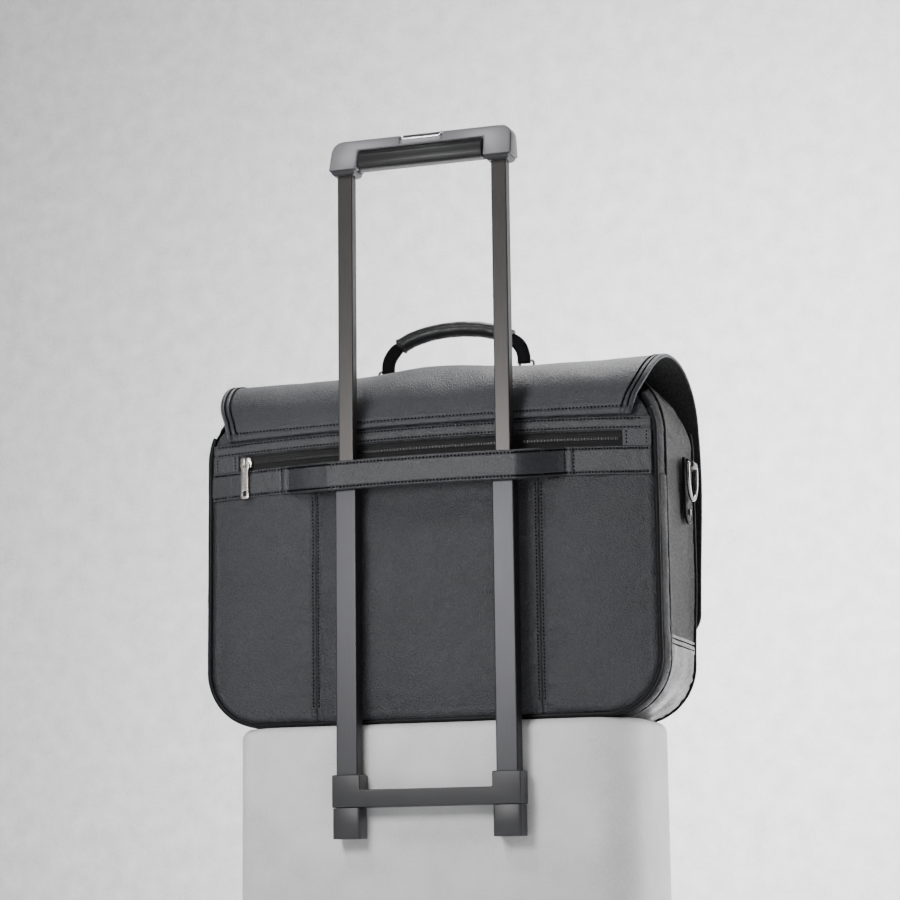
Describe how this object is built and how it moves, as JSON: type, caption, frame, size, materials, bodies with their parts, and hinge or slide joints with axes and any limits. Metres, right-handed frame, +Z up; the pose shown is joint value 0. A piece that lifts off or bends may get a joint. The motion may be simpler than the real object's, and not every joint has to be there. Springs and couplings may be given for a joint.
{
  "type": "rolling laptop case",
  "caption": "Black leather flap-over laptop case whose rear strap slips over a telescopic luggage pull handle with a push-button grip.",
  "frame": {"origin": "middle of the width of the leather case's base, on its lower face", "axes": "+Z up along the pull handle; -Y towards the pull handle and +Y towards the flap's front; +X along the case's width"},
  "size_m": [0.4344, 0.1907, 0.6197],
  "materials": {
    "grained_leather": "black full-grain leather with a soft sheen",
    "smooth_leather": "black smooth leather, slightly glossy",
    "trim_leather": "black edge-painted trim leather",
    "lining": "dark grey padded lining cloth",
    "board": "plain stiffening board",
    "zip_tape": "black woven zip tape and coil",
    "nickel": "polished nickel",
    "steel": "plain steel",
    "tube_metal": "satin gunmetal anodised tube",
    "collar_plastic": "dark grey moulded plastic",
    "grip_plastic": "satin silver-grey plastic",
    "grip_rubber": "soft black rubber",
    "chrome": "bright chrome"
  },
  "bodies": {
    "trolley_frame": {"lower_tube_left": "tube_metal", "lower_tube_right": "tube_metal", "stage_cap_left": "collar_plastic", "stage_cap_right": "collar_plastic", "collar_bridge": "collar_plastic", "guide_sleeve_left": "collar_plastic", "guide_sleeve_right": "collar_plastic"},
    "handle_stage": {"upper_tube_left": "tube_metal", "upper_tube_right": "tube_metal", "grip_shell": "grip_plastic", "grip_bar": "grip_rubber", "grip_foot_left": "collar_plastic", "grip_foot_right": "collar_plastic", "button_rim": "chrome"},
    "release": {"release_button": "grip_rubber", "release_rods": "steel"},
    "case": {"back_panel_left": "grained_leather", "back_panel_centre": "grained_leather", "back_panel_right": "grained_leather", "back_yoke": "grained_leather", "zip_welt": "grained_leather", "laptop_section_gusset": "smooth_leather", "base_wrap": "smooth_leather", "gusset_left": "grained_leather", "gusset_right": "grained_leather", "front_panel": "grained_leather", "rear_board": "board", "laptop_divider": "lining", "piping_rear": "trim_leather", "piping_middle": "trim_leather", "piping_front": "trim_leather", "front_pocket": "grained_leather", "snap_socket_left": "nickel", "snap_socket_right": "nickel", "trolley_strap": "grained_leather", "zip_tape": "zip_tape", "zip_coil": "zip_tape", "ring_tab_left": "trim_leather", "ring_tab_right": "trim_leather", "ring_keeper_left": "nickel", "ring_keeper_right": "nickel", "ring_rivet_left": "nickel", "ring_rivet_right": "nickel"},
    "slider": {"zip_slider": "nickel"},
    "pull_tab": {"zip_pull": "nickel"},
    "ring_left": {"shoulder_ring_left": "nickel"},
    "ring_right": {"shoulder_ring_right": "nickel"},
    "flap_lid": {"flap_top": "grained_leather", "handle_ring_left": "nickel", "handle_ring_right": "nickel", "handle_tab_left": "trim_leather", "handle_tab_right": "trim_leather"},
    "carry_handle": {"handle_strap": "grained_leather", "handle_sleeve": "trim_leather"},
    "flap_drop": {"flap_front": "grained_leather", "snap_stud_left": "nickel", "snap_stud_right": "nickel"}
  },
  "joints": [
    {"name": "pull_handle_slide", "type": "slide", "parent": "trolley_frame", "child": "handle_stage", "axis": [0, 0, 1], "range_m": [-0.25, 0]},
    {"name": "release_press", "type": "slide", "parent": "handle_stage", "child": "release", "axis": [0, 0, 1], "range_m": [-0.003, 0], "stiffness_N_per_m": 500, "springref_m": 0.004},
    {"name": "case_lift", "type": "slide", "parent": "trolley_frame", "child": "case", "axis": [0, 0, 1], "range_m": [0, 0.34]},
    {"name": "zip_slide", "type": "slide", "parent": "case", "child": "slider", "axis": [0.999, -0.0281, 0.035], "range_m": [0, 0.033]},
    {"name": "zip_pull_swing", "type": "hinge", "parent": "slider", "child": "pull_tab", "pos_m": [-0.169, -0.06985, 0.23553], "axis": [-1, 0, 0], "range_deg": [-4, 115]},
    {"name": "ring_left_swing", "type": "hinge", "parent": "case", "child": "ring_left", "pos_m": [-0.2135, 0.044, 0.226], "axis": [0, 1, 0], "range_deg": [-2, 150]},
    {"name": "ring_right_swing", "type": "hinge", "parent": "case", "child": "ring_right", "pos_m": [0.2135, 0.044, 0.226], "axis": [0, -1, 0], "range_deg": [-2, 150]},
    {"name": "flap_lift", "type": "hinge", "parent": "case", "child": "flap_lid", "pos_m": [0, -0.0672, 0.26], "axis": [1, 0, 0], "range_deg": [0, 12]},
    {"name": "carry_handle_tilt", "type": "hinge", "parent": "flap_lid", "child": "carry_handle", "pos_m": [0, 0.024, 0.329], "axis": [1, 0, 0], "range_deg": [-20, 25]},
    {"name": "flap_fold", "type": "hinge", "parent": "flap_lid", "child": "flap_drop", "pos_m": [0, 0.0646, 0.3042], "axis": [1, 0, 0], "range_deg": [0, 140]}
  ]
}
